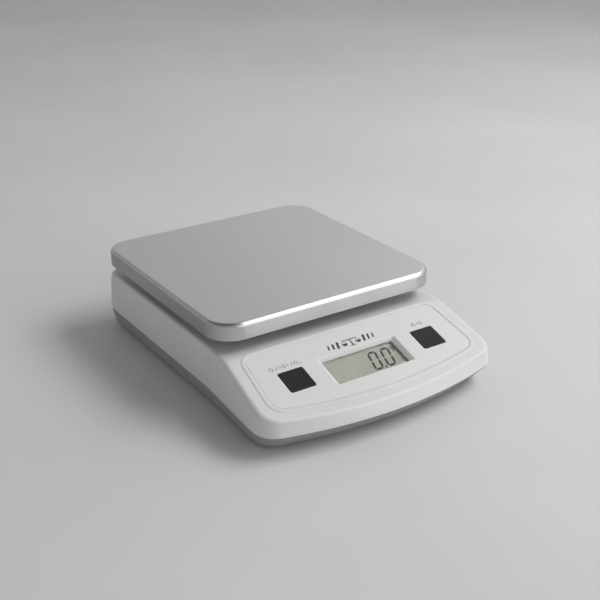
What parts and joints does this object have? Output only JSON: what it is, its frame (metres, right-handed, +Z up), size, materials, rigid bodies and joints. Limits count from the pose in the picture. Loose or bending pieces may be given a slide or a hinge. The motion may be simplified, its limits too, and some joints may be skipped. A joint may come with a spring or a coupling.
{
  "type": "digital gram scale",
  "caption": "Compact digital scale with a lift-off stainless weighing tray on a sprung carrier, a sloping panel with LCD and push buttons, and a hinged battery door.",
  "frame": {"origin": "on the supporting surface, under the centre of the housing outline", "axes": "+X to the right as the user faces the display, +Y from the panel towards the back, +Z up"},
  "size_m": [0.146, 0.1966, 0.05],
  "materials": {
    "stainless": "brushed",
    "shell": "satin",
    "base": "matte",
    "overlay": "satin",
    "button": "matte",
    "lens": "clear",
    "lcd": "gloss",
    "white_plastic": "matte",
    "carrier_plastic": "matte",
    "black_plastic": "matte",
    "rubber": "matte",
    "silicone": "matte",
    "aluminium": "milled",
    "steel": "bright",
    "nickel": "plated",
    "board": "satin",
    "epoxy": "gloss",
    "battery": "gloss",
    "cable_grey": "matte",
    "lead_red": "satin",
    "lead_black": "satin"
  },
  "bodies": {
    "housing": {"lower_housing": "base", "upper_housing": "shell", "load_cell": "aluminium", "load_cell_base_plate": "steel", "gauge_coating_top": "silicone", "gauge_coating_bottom": "silicone", "overload_stop_screw": "steel", "panel_overlay": "overlay", "display_lens": "lens", "lcd_glass": "lcd", "lcd_frame": "white_plastic", "lcd_connector_strip": "silicone", "main_board": "board", "controller_chip": "epoxy", "converter_chip": "epoxy", "filter_capacitor": "black_plastic", "tare_switch": "black_plastic", "unit_switch": "black_plastic", "battery_cell_1": "battery", "battery_cell_2": "battery", "battery_contact_plus": "nickel", "battery_contact_minus": "nickel", "battery_contact_bridge": "nickel", "load_cell_cable": "cable_grey", "battery_lead_plus": "lead_red", "battery_lead_minus": "lead_black", "foot_1": "rubber", "board_screw_1": "steel", "housing_screw_1": "steel", "foot_2": "rubber", "board_screw_2": "steel", "housing_screw_2": "steel", "foot_3": "rubber", "board_screw_3": "steel", "housing_screw_3": "steel", "foot_4": "rubber", "board_screw_4": "steel", "housing_screw_4": "steel", "load_cell_base_screw_1": "steel", "load_cell_base_screw_2": "steel"},
    "carrier": {"tray_carrier": "carrier_plastic", "load_cell_top_plate": "steel", "load_cell_top_screw_1": "steel", "load_cell_top_screw_2": "steel", "tray_pad_1": "rubber", "tray_pad_2": "rubber", "tray_pad_3": "rubber", "tray_pad_4": "rubber"},
    "tray": {"weighing_tray": "stainless"},
    "tare_key": {"tare_button": "button", "tare_switch_plunger": "nickel"},
    "unit_key": {"unit_button": "button", "unit_switch_plunger": "nickel"},
    "door": {"battery_door": "base"}
  },
  "joints": [
    {"name": "carrier_press", "type": "slide", "parent": "housing", "child": "carrier", "axis": [0, 0, 1], "range_m": [-0.0006, 0], "stiffness_N_per_m": 20000, "springref_m": 0.00025, "deforming": ["load_cell"]},
    {"name": "tray_lift", "type": "slide", "parent": "carrier", "child": "tray", "axis": [0, 0, 1], "range_m": [0, 0.04]},
    {"name": "tare_key_press", "type": "slide", "parent": "housing", "child": "tare_key", "axis": [0, 0.3007, -0.9537], "range_m": [0, 0.0006], "stiffness_N_per_m": 1500, "springref_m": -0.0004},
    {"name": "unit_key_press", "type": "slide", "parent": "housing", "child": "unit_key", "axis": [0, 0.3007, -0.9537], "range_m": [0, 0.0006], "stiffness_N_per_m": 1500, "springref_m": -0.0004},
    {"name": "battery_door_open", "type": "hinge", "parent": "housing", "child": "door", "pos_m": [0, 0.0419, 0.0029], "axis": [-1, 0, 0], "range_deg": [0, 100]}
  ]
}
